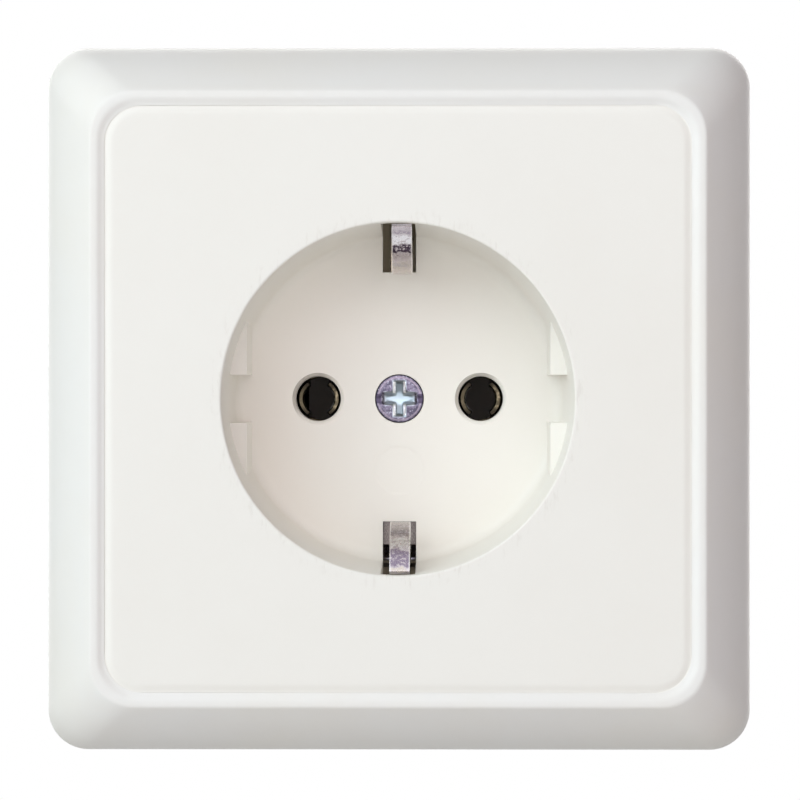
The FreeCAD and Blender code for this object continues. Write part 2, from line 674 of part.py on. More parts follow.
def base_housing():
    # A cup for the well, with three chambers behind it that are open to the rear cover
    body = new_body("base_housing")
    block = at_depth(body, "base_depth")
    circle(block, "base_radius")
    pad(body, block, "base_depth")
    ears = at_depth(body, "ear_depth")
    for side in (1, -1):
        circle(ears, "ear_radius", f"ear_each * {side}", f"ear_each * {side}")
    pad(body, ears, "ear_depth")
    cup = at_depth(body, "0")
    circle(cup, "bore_radius")
    pocket(body, cup, "shelf")
    rivets = at_depth(body, "0")
    for side in (1, -1):
        circle(rivets, "rivet_radius + rivet_gap", f"ear_each * {side}", f"ear_each * {side}")
    pocket(body, rivets, "ear_depth")
    # room behind the ears to form the rivets
    forming = at_depth(body, "ear_depth")
    for side in (1, -1):
        circle(forming, "rivet_head + head_gap", f"ear_each * {side}", f"ear_each * {side}")
    pocket(body, forming, "base_depth - ear_depth")
    flats = at_depth(body, "shelf")
    for side in (1, -1):
        near, far = f"base_flat * {side}", f"(base_radius + base_wall) * {side}"
        box_outline(flats, near, far, "0 - base_radius", "base_radius")
    pocket(body, flats, "base_depth - shelf")
    # the chambers of the two contacts: narrow round the sleeve, wide round the terminal
    half = "chamber_side / 2"
    for side in (1, -1):
        for start, end in (("shelf", "chamber_step"), ("sleeve_back", "chamber_outside")):
            chamber = at_depth(body, start)
            near, far = f"(chamber_inside) * {side}", f"({end}) * {side}"
            box_outline(chamber, near, far, f"0 - {half}", half)
            pocket(body, chamber, f"base_depth - {start}")
    leg = at_depth(body, "shelf")
    box_outline(leg, f"0 - {half}", half, "0 - (chamber_outside)", "0 - (leg_chamber)")
    pocket(body, leg, "base_depth - shelf")
    bush = at_depth(body, "shelf")
    circle(bush, "bush_radius + bush_gap")
    pocket(body, bush, "bush_length")
    # screwdriver holes to the three terminal screws: right, left and below
    for role, height, across, up, forward in (
        ("YZ_Plane", "base_radius", "grip_place", "0", False),
        ("YZ_Plane", "0 - base_radius", "grip_place", "0", True),
        ("XY_Plane", "0 - base_radius", "0", "grip_place", True),
    ):
        drive = sketch_on(body, role, height)
        circle(drive, "grip_head + chamber_gap", across, up)
        pocket(body, drive, "base_radius - chamber_outside + chamber_gap", forward)
    fixings = at_depth(body, "base_depth - fixing_length")
    for side in (1, -1):
        up = f"fixing_place * {side}"
        circle(fixings, "fixing_radius + fixing_gap", f"0 - {up}", up)
    pocket(body, fixings, "fixing_length")
    return body


def rear_cover():
    # Lid with three wire windows, and two posts beside each pin that hold the contact in
    body = new_body("rear_cover")
    lid = at_depth(body, "cover_back")
    circle(lid, "cover_radius")
    pad(body, lid, "cover_thick")
    flats = at_depth(body, "base_depth")
    for side in (1, -1):
        near, far = f"(base_flat - cover_inset) * {side}", f"(base_radius + base_wall) * {side}"
        box_outline(flats, near, far, "0 - base_radius", "base_radius")
    pocket(body, flats, "cover_thick")
    near = "(terminal_reach - wire_gap / 2 - window_side / 2)"
    far = "(terminal_reach - wire_gap / 2 + window_side / 2)"
    across = "window_span / 2"
    windows = at_depth(body, "base_depth")
    for side in (1, -1):
        box_outline(windows, f"{near} * {side}", f"{far} * {side}", f"0 - {across}", across)
    box_outline(windows, f"0 - {across}", across, f"0 - {far}", f"0 - {near}")
    pocket(body, windows, "cover_thick")
    fixings = at_depth(body, "base_depth")
    for side in (1, -1):
        up = f"fixing_place * {side}"
        circle(fixings, "fixing_radius + fixing_gap", f"0 - {up}", up)
    pocket(body, fixings, "cover_thick")
    posts = at_depth(body, "base_depth")
    for side in (1, -1):
        near, far = f"(pin_place - post_half) * {side}", f"(pin_place + post_half) * {side}"
        for half in (1, -1):
            inner, outer = f"post_inside * {half}", f"(post_inside + post_thick) * {half}"
            box_outline(posts, near, far, inner, outer)
    pad(body, posts, "base_depth - strip_back")
    return body


def cover_screw(name, side):
    body = new_body(name)
    up = f"fixing_place * {side}"
    shank = at_depth(body, "cover_back")
    circle(shank, "fixing_radius", f"0 - {up}", up)
    pad(body, shank, "cover_thick + fixing_length")
    head = at_depth(body, "cover_back + fixing_head_thick")
    circle(head, "fixing_head", f"0 - {up}", up)
    pad(body, head, "fixing_head_thick")
    return body


def support_ring():
    # Steel plate against the wall, with slots and keyholes for the screws of the box
    body = new_body("support_ring")
    plate = at_depth(body, "0")
    full, cut = "ring_side / 2", "(ring_side / 2 - ring_cut)"
    below, start = f"0 - {full}", f"0 - {cut}"
    outline(plate, [
        (cut, below), (full, start), (full, cut), (cut, full),
        (start, full), (below, cut), (below, start), (start, below),
    ])
    circle(plate, "ring_hole")
    pad(body, plate, "ring_thick")
    holes = at_depth(body, "0 - ring_thick")
    for side in (1, -1):
        slotted(holes, "box_slot_length", "box_slot_width", f"box_place * {side}", "0")
        circle(holes, "rivet_radius + rivet_gap", f"ear_each * {side}", f"ear_each * {side}")
    pocket(body, holes, "ring_thick")
    # keyholes above and below: a slot that opens into a hole for the screw's head
    for radius in (None, "key_radius"):
        keys = at_depth(body, "0 - ring_thick")
        for side in (1, -1):
            if radius:
                circle(keys, radius, f"box_slot_length / 2 * {side}", f"box_place * {side}")
            else:
                slotted(keys, "box_slot_length", "box_slot_width", "0", f"box_place * {side}")
        pocket(body, keys, "ring_thick")
    return body


def rivet(name, side):
    body = new_body(name)
    for back, length, radius in (
        ("ear_depth", "ear_depth + ring_thick", "rivet_radius"),
        ("0 - ring_thick", "rivet_head_thick", "rivet_head"),
        ("ear_depth + rivet_head_thick", "rivet_head_thick", "rivet_head"),
    ):
        stage = at_depth(body, back)
        circle(stage, radius, f"ear_each * {side}", f"ear_each * {side}")
        pad(body, stage, length)
    bore = at_depth(body, "rivet_top")
    circle(bore, "rivet_bore", f"ear_each * {side}", f"ear_each * {side}")
    pocket(body, bore, "ear_depth + ring_thick + 2 * rivet_head_thick")
    return body


pieces = [
    cover_frame(), centre_plate(), centre_screw(), screw_bush(), earth_strap(), support_ring(),
    base_housing(), rear_cover(),
]
for name, quarter_turns in (("right", 0), ("left", 2)):
    pieces.append(contact(f"{name}_contact", quarter_turns))
    pieces.append(contact_spring(f"{name}_contact_spring", quarter_turns))
for name, quarter_turns in (("right", 0), ("earth", 1), ("left", 2)):
    pieces.append(terminal_screw(f"{name}_terminal_screw", quarter_turns))
    pieces.append(clamp_plate(f"{name}_clamp_plate", quarter_turns))
for name, side in (("upper", 1), ("lower", -1)):
    pieces.append(rivet(f"{name}_rivet", side))
    pieces.append(cover_screw(f"{name}_cover_screw", side))
doc.recompute()

for item in doc.Objects:
    if "Invalid" in item.State or "Error" in item.State:
        raise RuntimeError(f"{item.Name} of {item.TypeId} failed")
os.makedirs("parts", exist_ok=True)
for piece in pieces:
    if piece.Shape.isNull() or not piece.Shape.isValid():
        raise RuntimeError(f"{piece.Label} has no sound shape")
    piece.Shape.exportStep(os.path.join("parts", piece.Label + ".step"))
    print(piece.Label, len(piece.Shape.Solids), round(piece.Shape.Volume, 1))
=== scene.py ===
import bmesh
import bpy
import math
import numpy as np
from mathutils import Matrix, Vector
from mathutils.geometry import delaunay_2d_cdt


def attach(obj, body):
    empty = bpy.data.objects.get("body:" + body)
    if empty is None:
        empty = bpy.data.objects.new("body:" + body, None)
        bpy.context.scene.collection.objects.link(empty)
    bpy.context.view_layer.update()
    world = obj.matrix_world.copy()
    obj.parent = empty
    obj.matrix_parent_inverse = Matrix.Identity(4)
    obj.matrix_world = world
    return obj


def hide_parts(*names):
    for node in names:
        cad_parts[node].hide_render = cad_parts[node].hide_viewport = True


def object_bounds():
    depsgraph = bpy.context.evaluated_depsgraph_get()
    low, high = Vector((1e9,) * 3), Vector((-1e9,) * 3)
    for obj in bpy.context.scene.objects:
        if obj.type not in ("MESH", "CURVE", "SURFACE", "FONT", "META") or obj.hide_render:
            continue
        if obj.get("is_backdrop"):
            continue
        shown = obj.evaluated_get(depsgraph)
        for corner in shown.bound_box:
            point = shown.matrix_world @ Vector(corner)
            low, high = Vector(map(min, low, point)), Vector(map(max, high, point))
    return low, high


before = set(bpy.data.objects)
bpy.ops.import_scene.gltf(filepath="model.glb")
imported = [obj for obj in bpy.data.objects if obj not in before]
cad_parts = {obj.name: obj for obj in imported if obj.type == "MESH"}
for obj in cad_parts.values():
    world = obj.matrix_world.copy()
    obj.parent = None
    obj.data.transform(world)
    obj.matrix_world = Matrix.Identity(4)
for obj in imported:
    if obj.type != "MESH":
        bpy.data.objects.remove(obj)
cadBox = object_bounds()
millimetre = 0.001
mergeWithin = 2e-6  # metres, points nearer than this are one point


# meshes
def put(name, points, faces, material, smoothAngle=None):
    # one mesh object at the origin from points in millimetres, doubles merged, normals outwards
    mesh = bpy.data.meshes.new(name)
    mesh.from_pydata((np.asarray(points) * millimetre).tolist(), [], faces)
    work = bmesh.new()
    work.from_mesh(mesh)
    bmesh.ops.remove_doubles(work, verts=work.verts, dist=mergeWithin)
    bmesh.ops.recalc_face_normals(work, faces=work.faces)
    work.to_mesh(mesh)
    work.free()
    mesh.polygons.foreach_set("use_smooth", np.ones(len(mesh.polygons), bool))
    if smoothAngle is not None:
        mesh.set_sharp_from_angle(angle=math.radians(smoothAngle))
    mesh.materials.append(material)
    thing = bpy.data.objects.new(name, mesh)
    bpy.context.scene.collection.objects.link(thing)
    return thing


class Shell:
    # collects patches of one piece, each a set of points with its faces
    def __init__(self):
        self.points, self.faces, self.count = [], [], 0

    def add(self, points, faces):
        points = np.asarray(points, float)
        self.points.append(points)
        self.faces.extend((np.asarray(face) + self.count).tolist() for face in faces)
        self.count += len(points)

    def grid(self, rows, keep=None):
        # rows is an array rows x columns x 3; each cell is one quad, the last column joins the
        # first, and keep says which cells stay
        rows = np.asarray(rows, float)
        tall, wide = rows.shape[:2]
        r, c = np.meshgrid(np.arange(tall - 1), np.arange(wide), indexing="ij")
        nextColumn = (c + 1) % wide
        here, below = r * wide, (r + 1) * wide
        quads = np.stack([here + c, here + nextColumn, below + nextColumn, below + c], -1)
        if keep is not None:
            quads = quads[keep]
        self.add(rows.reshape(-1, 3), quads.reshape(-1, 4))

    def fill(self, loops, depth, inside):
        # flat patch at one depth between closed loops of x, z; a triangle stays where its middle
        # is inside
        spots = np.concatenate([np.asarray(loop)[:, :2] for loop in loops])
        edges, start = [], 0
        for loop in loops:
            n = len(loop)
            edges += [(start + i, start + (i + 1) % n) for i in range(n)]
            start += n
        corners = [Vector(spot) for spot in spots.tolist()]
        found, _, triangles, _, _, _ = delaunay_2d_cdt(corners, edges, [], 0, 1e-6)
        found = np.array([(spot.x, spot.y) for spot in found])
        triangles = np.array(triangles)
        middles = found[triangles].mean(1)
        triangles = triangles[inside(middles[:, 0], middles[:, 1])]
        self.add(np.column_stack([found[:, 0], np.full(len(found), depth), found[:, 1]]), triangles)

    def piece(self, name, material, smoothAngle=None):
        return put(name, np.concatenate(self.points), self.faces, material, smoothAngle)


def circleLoop(radius, count, x=0.0, z=0.0):
    # x, z on a circle, clockwise from the top as the viewer sees it
    turn = np.linspace(0, 2 * np.pi, count, endpoint=False)
    return np.column_stack([x + radius * np.sin(turn), z + radius * np.cos(turn)])


def squareLoop(half, corner, perCorner=14, perSide=6):
    # x, z round a square with round corners: each side is straight, each corner a quarter circle
    quarter = np.linspace(0, np.pi / 2, perCorner + 1)
    inner = half - corner
    arc = np.column_stack([inner + corner * np.sin(quarter), inner + corner * np.cos(quarter)])
    side = np.linspace(1, -1, perSide + 1)[1:-1] * inner
    run = np.column_stack([np.full(len(side), half), side])
    first = np.concatenate([arc, run])
    turns = []
    for step in range(4):
        c, s = math.cos(step * math.pi / 2), math.sin(step * math.pi / 2)
        turns.append(np.column_stack([first[:, 0] * c + first[:, 1] * s, first[:, 1] * c - first[:, 0] * s]))
    return np.concatenate(turns)


def atDepth(loop, depth):
    return np.column_stack([loop[:, 0], np.full(len(loop), depth), loop[:, 1]])


def softProfile(corners, radii, steps=5):
    # a polyline whose corners become arcs: each corner is replaced by points of the quadratic curve
    # from the point one radius before it, through it, to the point one radius after it
    corners = np.asarray(corners, float)
    out = []
    count = len(corners)
    for i in range(count):
        here = corners[i]
        if radii[i] == 0 or i in (0, count - 1):
            out.append(here[None])
            continue
        before, after = corners[i - 1], corners[i + 1]
        start = here + (before - here) * min(0.5, radii[i] / np.linalg.norm((before - here)[:2]))
        end = here + (after - here) * min(0.5, radii[i] / np.linalg.norm((after - here)[:2]))
        t = np.linspace(0, 1, steps + 1)[:, None]
        out.append((1 - t) ** 2 * start + 2 * t * (1 - t) * here + t ** 2 * end)
    return np.concatenate(out)


def finishEdges(thing, width, angle):
    # slightly rounded edges, then normals that keep the flat faces flat
    bevel = thing.modifiers.new("edges", "BEVEL")
    bevel.width = width * millimetre
    bevel.segments = 2
    bevel.limit_method = "ANGLE"
    bevel.angle_limit = math.radians(angle)
    bevel.miter_outer = "MITER_ARC"
    weighted = thing.modifiers.new("normals", "WEIGHTED_NORMAL")
    weighted.keep_sharp = True
    weighted.weight = 80


def softenedCopy(source, name, slot, material, width, reshape=None):
    # the CAD node's own shape with flat faces joined, bent by reshape, and its edges rounded
    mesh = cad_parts[source].data.copy()
    mesh.name = name
    work = bmesh.new()
    work.from_mesh(mesh)
    bmesh.ops.remove_doubles(work, verts=work.verts, dist=mergeWithin)
    bmesh.ops.dissolve_limit(work, angle_limit=math.radians(0.6), verts=work.verts, edges=work.edges)
    work.to_mesh(mesh)
    work.free()
    if "custom_normal" in mesh.attributes:
        mesh.attributes.remove(mesh.attributes["custom_normal"])
    if reshape:
        points = np.empty(3 * len(mesh.vertices))
        mesh.vertices.foreach_get("co", points)
        moved = reshape(points.reshape(-1, 3) / millimetre) * millimetre
        mesh.vertices.foreach_set("co", moved.ravel())
    mesh.polygons.foreach_set("use_smooth", np.ones(len(mesh.polygons), bool))
    mesh.materials.clear()
    mesh.materials.append(material)
    thing = bpy.data.objects.new(name, mesh)
    bpy.context.scene.collection.objects.link(thing)
    finishEdges(thing, width, 30)
    keepPiece(thing, slot, source)


def keepPiece(thing, slot, *nodes):
    # the piece moves with the body root and takes the place of its CAD nodes
    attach(thing, "root")
    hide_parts(*nodes)


# shader maths
class Signal:
    # a socket of a node tree; an expression on signals adds Math nodes
    def __init__(self, web, socket):
        self.web, self.socket = web, socket

    def maths(self, operation, *values):
        return self.web.node("ShaderNodeMath", {"operation": operation}, dict(enumerate(values)))[0]

    def __add__(self, other):
        return self.maths("ADD", self, other)

    def __sub__(self, other):
        return self.maths("SUBTRACT", self, other)

    def __rsub__(self, other):
        return self.maths("SUBTRACT", other, self)

    def __mul__(self, other):
        return self.maths("MULTIPLY", self, other)

    def __abs__(self):
        return self.maths("ABSOLUTE", self)

    def __lt__(self, other):
        return self.maths("LESS_THAN", self, other)

    def __gt__(self, other):
        return self.maths("GREATER_THAN", self, other)

    __radd__, __rmul__ = __add__, __mul__

    def most(self, other):
        return self.maths("MAXIMUM", self, other)

    def root(self):
        return self.maths("SQRT", self)

    def ramp(self, low, high, smooth=True):
        # 0 at low, 1 at high, smooth between
        kind = "SMOOTHSTEP" if smooth else "LINEAR"
        values = {"Value": self, "From Min": low, "From Max": high}
        return self.web.node("ShaderNodeMapRange", {"interpolation_type": kind, "clamp": True}, values)[0]


class Web:
    # a node tree and the one way in which a node is added to it
    def __init__(self, tree):
        self.tree = tree

    def node(self, kind, settings, values):
        # the settings come first, then the value or the link of each socket; gives its outputs
        made = self.tree.nodes.new(kind)
        for name, setting in settings.items():
            setattr(made, name, setting)
        for name, value in values.items():
            self.feed(made.inputs[name], value)
        return [Signal(self, socket) for socket in made.outputs]

    def feed(self, socket, value):
        if isinstance(value, Signal):
            self.tree.links.new(value.socket, socket)
        else:
            socket.default_value = value

    def blend(self, amount, first, second):
        # from the first colour to the second
        first, second = [value if isinstance(value, Signal) else (*value, 1) for value in (first, second)]
        return self.node("ShaderNodeMix", {"data_type": "RGBA"}, {0: amount, 6: first, 7: second})[2]

    def showsBackground(self):
        # 1 for what the camera, gloss or glass sees, 0 for light on the object
        rays = {signal.socket.name: signal for signal in self.node("ShaderNodeLightPath", {}, {})}
        return rays["Is Camera Ray"].most(rays["Is Glossy Ray"]).most(rays["Is Transmission Ray"])


class Finish(Web):
    # one material: a Principled shader with its own constants, and patterns on Object coordinates
    def __init__(self, name, **constants):
        self.material = bpy.data.materials.new(name)
        self.material.use_nodes = True
        super().__init__(self.material.node_tree)
        self.shader = self.tree.nodes["Principled BSDF"]
        for socket, value in constants.items():
            self.shader.inputs[socket.replace("_", " ")].default_value = value
        self.place = self.node("ShaderNodeTexCoord", {}, {})[3]

    def stretched(self, scale, turn=(0, 0, 0)):
        return self.node("ShaderNodeMapping", {}, {"Vector": self.place, "Scale": scale, "Rotation": turn})[0]

    def noise(self, size, detail=2.0, rough=0.5, place=None):
        # size of the noise in millimetres
        values = {"Vector": place or self.place, "Scale": 1000 / size, "Detail": detail, "Roughness": rough}
        return self.node("ShaderNodeTexNoise", {}, values)[0]

    def cells(self, size):
        # distance to the nearest point of a cell, in cells, and the cell's random number
        values = {"Vector": self.place, "Scale": 1000 / size, "Randomness": 1.0}
        outputs = self.node("ShaderNodeTexVoronoi", {}, values)
        return outputs[0], self.node("ShaderNodeSeparateColor", {}, {"Color": outputs[1]})[0]

    def axes(self):
        # X, Y and Z in millimetres
        return [axis * 1000 for axis in self.node("ShaderNodeSeparateXYZ", {}, {"Vector": self.place})]

    def set(self, socket, signal):
        self.feed(self.shader.inputs[socket], signal)

    def bump(self, height, depth, before=None):
        # depth in millimetres for a height of 1
        values = {"Height": height, "Strength": 1.0, "Distance": depth * millimetre}
        if before:
            values["Normal"] = before
        return self.node("ShaderNodeBump", {}, values)[0]


# finishes, with sizes in millimetres: clouds of colour, grain, slow sink waves and specks
whitePlastic = {
    "colour": (0.955, 0.922, 0.858), "worn": (0.935, 0.896, 0.826), "cloud": 22, "cloudFine": 1.6,
    "roughness": 0.36, "grain": 0.22, "grainDepth": 0.005, "sink": 14, "sinkDepth": 0.010,
    "speck": (0.30, 0.24, 0.18), "speckGap": 9, "speckSize": 0.021, "speckAbove": 0.62, "speckShare": 0.55,
}
# the plastic pieces' worn places and painted light and shade, in millimetres: the touched bead, the painted
# shade where the frame meets the wall, the ring round the well that plugs scuff, the painted shade on the
# lips of the pin holes (more on their upper left), and painted light on the front of the base behind the
# upper clip
wearAndPaintedLight = {
    "bead": (33.6, 34.2, 34.9, 35.5), "beadShare": 0.3,
    "wallEdge": (-2.2, -0.2), "wallShadeShare": 0.45, "wallShade": (0.40, 0.37, 0.35),
    "scuff": (19.5, 19.9, 20.4, 22.0), "scuffShare": 0.35, "scuffed": (0.80, 0.75, 0.68),
    "pins": (9.5, -9.5), "lip": (2.60, 2.68, 3.0, 3.05), "lipSide": (-1.4, 2.8), "lipShadeShare": 0.6,
    "lipShade": (0.30, 0.26, 0.22),
    "front": (11.2, 11.4), "frontFrom": (14, 14.5), "frontTo": 21.4, "frontHalf": 2.6,
    "paintedLight": (0.95, 0.84, 0.60), "paintedLightShare": 0.9,
}


def band(value, limits):
    # 0 up to the first limit, 1 from the second to the third, 0 from the fourth
    start, full, end, over = limits
    return value.ramp(start, full) * (1 - value.ramp(end, over))


def frameWearAndShade(finish, colour, worn):
    x, depth, z = finish.axes()
    uneven = finish.noise(5, 3, 0.6)
    touched = band(abs(x).most(abs(z)), wearAndPaintedLight["bead"]) * uneven * wearAndPaintedLight["beadShare"]
    # painted shade: the frame is darker towards its back edge, where it meets the wall
    edge = depth.ramp(*wearAndPaintedLight["wallEdge"]) * (uneven * 0.5 + 0.5) * wearAndPaintedLight["wallShadeShare"]
    return finish.blend(edge, finish.blend(touched, colour, worn), wearAndPaintedLight["wallShade"])


def plateWearAndShade(finish, colour, worn):
    x, depth, z = finish.axes()
    ring = band((x * x + z * z).root(), wearAndPaintedLight["scuff"]) * (depth < -9)
    marks = finish.noise(0.5, 3, 0.7, finish.stretched((1, 1, 0.25), (0, 0.6, 0))).ramp(0.52, 0.7)
    colour = finish.blend(ring * marks * wearAndPaintedLight["scuffShare"], colour, wearAndPaintedLight["scuffed"])
    # painted shade on the lips of the pin holes, darker on their upper left, away from the light
    for pin in wearAndPaintedLight["pins"]:
        a = x - pin
        lip = band((a * a + z * z).root(), wearAndPaintedLight["lip"]) * (depth > 7.2) * (z - a).ramp(*wearAndPaintedLight["lipSide"])
        colour = finish.blend(lip * wearAndPaintedLight["lipShadeShare"], colour, wearAndPaintedLight["lipShade"])
    return colour


def basePaintedLight(finish, colour, worn):
    x, depth, z = finish.axes()
    # painted light: the front of the base behind the upper clip is made paler where it lies in shade
    patch = z.ramp(*wearAndPaintedLight["frontFrom"]) * (z < wearAndPaintedLight["frontTo"]) * (abs(x) < wearAndPaintedLight["frontHalf"])
    litPatch = (1 - depth.ramp(*wearAndPaintedLight["front"])) * patch
    return finish.blend(litPatch * wearAndPaintedLight["paintedLightShare"], colour, wearAndPaintedLight["paintedLight"])


def plasticFinish(name, sizes):
    # satin moulded plastic: faint cloudy colour, fine grain, slow waves, a few specks
    finish = Finish(name, IOR=1.46, Specular_IOR_Level=0.2)
    cloud = finish.noise(sizes["cloud"], 3)
    fine = finish.noise(sizes["cloudFine"], 3, 0.6)
    colour = finish.blend(cloud.ramp(0.35, 0.75) * 0.6 + fine * 0.2, sizes["colour"], sizes["worn"])
    near, chance = finish.cells(sizes["speckGap"])
    wobble = finish.noise(0.25, 1) * 0.012
    speck = (near + wobble < sizes["speckSize"]) * (chance > sizes["speckAbove"])
    colour = finish.blend(speck * sizes["speckShare"], colour, sizes["speck"])
    used = {"framePlastic": frameWearAndShade, "platePlastic": plateWearAndShade, "basePlastic": basePaintedLight}.get(name)
    finish.set("Base Color", used(finish, colour, sizes["worn"]) if used else colour)
    finish.set("Roughness", finish.noise(4, 3) * 0.10 + (sizes["roughness"] - 0.05))
    waves = finish.bump(finish.noise(sizes["sink"], 1), sizes["sinkDepth"])
    finish.set("Normal", finish.bump(finish.noise(sizes["grain"], 2, 0.6), sizes["grainDepth"], waves))
    return finish.material


platePlastic = plasticFinish("platePlastic", whitePlastic)
framePlastic = plasticFinish("framePlastic", dict(whitePlastic, colour=(0.940, 0.920, 0.885)))
basePlastic = plasticFinish("basePlastic", dict(
    whitePlastic, colour=(0.50, 0.45, 0.35), worn=(0.42, 0.37, 0.28), roughness=0.62,
    grain=0.5, grainDepth=0.03,
))
coverPlastic = plasticFinish("coverPlastic", dict(
    whitePlastic, colour=(0.46, 0.44, 0.40), worn=(0.38, 0.36, 0.33), roughness=0.6,
    grain=0.45, grainDepth=0.025,
))

# each metal is mottled between two colours, with streaks drawn out along the axes as given
metals = {
    "zincSteel": dict(light=(0.58, 0.56, 0.68), dark=(0.34, 0.31, 0.42), roughness=0.27, streak=(1, 1, 1)),
    "headZinc": dict(light=(0.19, 0.170, 0.230), dark=(0.09, 0.078, 0.115), roughness=0.32, streak=(1, 1, 1)),
    "ringSteel": dict(light=(0.70, 0.71, 0.72), dark=(0.52, 0.53, 0.55), roughness=0.38, streak=(1, 1, 9)),
    "springSteel": dict(light=(0.46, 0.46, 0.48), dark=(0.30, 0.29, 0.29), roughness=0.36, streak=(1, 9, 1)),
    "brassSheet": dict(light=(0.80, 0.68, 0.46), dark=(0.54, 0.42, 0.25), roughness=0.28, streak=(1, 6, 1)),
    "rivetMetal": dict(light=(0.83, 0.83, 0.82), dark=(0.62, 0.62, 0.62), roughness=0.40, streak=(1, 1, 1)),
    "platedStrap": dict(light=(0.74, 0.68, 0.72), dark=(0.46, 0.40, 0.42), roughness=0.26, streak=(8, 1, 1)),
}
# small bends of the sheet metal, in millimetres: the sleeves' inner radius at three depths and what it
# becomes, the share of the wall that is kept, and how far each clip stands aside and inwards
bends = {
    "axis": 9.5, "reach": 3.35, "depths": (9.7, 11.2, 20.0), "bore": (2.7, 2.25, 2.25),
    "pinched": (1.86, 1.72, 1.95), "wall": 0.95,
    "clips": (-14, 14), "aside": (0.18, 0.42), "asideDepths": (9.4, 10.8),
    "inwards": (0.4, 0.0), "inwardsDepths": (-2, 4, 9.4, 10.8),
}
# bands of painted reflection on the clips, bright and dark: which clip, millimetres from the well's axis
# where a band starts and ends, its softness, strength and colour
clipReflectionBands = [
    (1, 13.9, 15.8, 0.5, 0.75, (0.66, 0.60, 0.53)), (1, 16.4, 17.5, 0.22, 0.95, (0.05, 0.03, 0.06)),
    (1, 17.35, 18.6, 0.3, 0.95, (0.98, 0.96, 1.0)), (1, 18.6, 19.0, 0.2, 0.55, (0.24, 0.19, 0.28)),
    (-1, 13.6, 15.7, 0.3, 0.75, (0.30, 0.26, 0.24)), (-1, 15.6, 17.0, 0.25, 0.95, (0.98, 0.97, 1.0)),
    (-1, 16.9, 19.0, 0.3, 0.85, (0.24, 0.19, 0.28)), (-1, 18.9, 20.6, 0.25, 0.7, (0.66, 0.58, 0.50)),
]
# painted highlights on the clips' side edges, and painted light and shade on the strap behind the well
clipMarks = {
    "front": 10.4, "edge": (0.98, 1.12), "edgeHighlight": (0.98, 0.96, 0.97), "edgeHighlightShare": 0.75,
    "behind": (9.6, 10.8), "behindShadeLow": (0.17, 0.145, 0.115), "behindLightHigh": (0.80, 0.69, 0.48),
    "behindShadeFrom": (16.9, 17.2), "dark": (0.10, 0.08, 0.05), "behindShadeShare": 0.45, "behindPaintShare": 0.9,
}
# painted shade on the sleeves' mouths: how deep it goes, its colour and share, the painted light that lifts
# it unevenly and more on the right of each mouth, where the light falls, and the darker painted shade at the
# slits
mouthMarks = {
    "pin": 9.5, "depths": (19.4, 21.4), "tarnish": (0.045, 0.038, 0.024), "share": 0.97,
    "mouthLight": 0.04, "mouthLightRight": 0.26, "slit": (0.5, 1.8), "slitShade": (0.012, 0.010, 0.008),
    "slitShadeShare": 0.85,
}
# marks on the head of the centre screw, millimetres from its axis: where the cross has painted rim
# highlights, its grey arms, painted light on its sloping walls and bright middle, painted shade at the dark
# ends of the slot and a painted highlight in the pale ring at the edge; then the face's stain and painted
# glints
headMarks = {
    "rimPlace": 0.60, "rimHalf": 0.10, "rimReach": (0.6, 2.0), "rim": (0.95, 0.95, 1.0),
    "armHalf": (0.30, 0.50), "arm": (0.14, 0.17, 0.19), "armReach": (2.0, 1.6), "armShare": 0.85,
    "slopeHalf": (0.72, 0.92), "slope": (0.40, 0.45, 0.50),
    "middle": (0.38, 0.46, 0.52), "middleReach": 1.7,
    "endPlace": 2.05, "endHalf": 0.5, "end": (0.05, 0.04, 0.07),
    "ringPlace": 2.5, "ringHalf": 0.06, "ring": (0.30, 0.25, 0.30), "ringShare": 0.55,
    "stain": (0.05, 0.045, 0.07), "stainShare": 0.75, "glint": (0.42, 0.42, 0.50), "glintShare": 0.6,
}


def clipPaint(finish, colour):
    # painted reflection bands and side-edge highlights on the clips, painted light and shade behind the well
    across, depth, height = finish.axes()
    ragged = (finish.noise(0.7, 3, 0.6) - 0.5) * 1.5
    patchy = finish.noise(0.35, 2, 0.6).ramp(0.34, 0.5)
    s = clipMarks
    clip = depth < s["front"]
    # painted reflection: bright and dark bands down each clip, broken up by noise
    for side, start, end, soft, strength, shade in clipReflectionBands:
        inside = band(height * side + ragged, (start, start + soft, end - soft, end)) * clip
        colour = finish.blend(inside * patchy * strength, colour, shade)
    upwards = height.ramp(*bends["clips"], False)
    # painted highlights along the clips' side edges
    low, high = bends["aside"]
    edge = abs(across - (upwards * (high - low) + low)).ramp(*s["edge"]) * clip
    colour = finish.blend(edge * s["edgeHighlightShare"], colour, s["edgeHighlight"])
    behind = depth.ramp(*s["behind"])
    finish.set("Metallic", 1 - behind * 0.6)
    # painted light and shade on the strap behind the well: darker below, paler above, darker again from 17 mm
    # up
    behindPaint = finish.blend(upwards, s["behindShadeLow"], s["behindLightHigh"])
    behindPaint = finish.blend(height.ramp(*s["behindShadeFrom"]) * s["behindShadeShare"], behindPaint, s["dark"])
    return finish.blend(behind * s["behindPaintShare"], colour, behindPaint)


def brassPaint(finish, colour):
    # the sleeves' mouths are painted dark as shade, less on their right where the light falls in, most
    # towards the slits, and unevenly
    across, depth, height = finish.axes()
    s = mouthMarks
    mouth = 1 - depth.ramp(*s["depths"])
    right = (across > s["pin"]) + (across > -s["pin"]) * (across < 0)
    mouthLight = finish.noise(0.6, 3, 0.6).ramp(0.42, 0.72) * (right * s["mouthLightRight"] + s["mouthLight"])
    colour = finish.blend(mouth * (s["share"] - mouthLight), colour, s["tarnish"])
    slit = abs(height).ramp(*s["slit"]) * s["slitShadeShare"]
    return finish.blend(mouth * slit, colour, s["slitShade"])


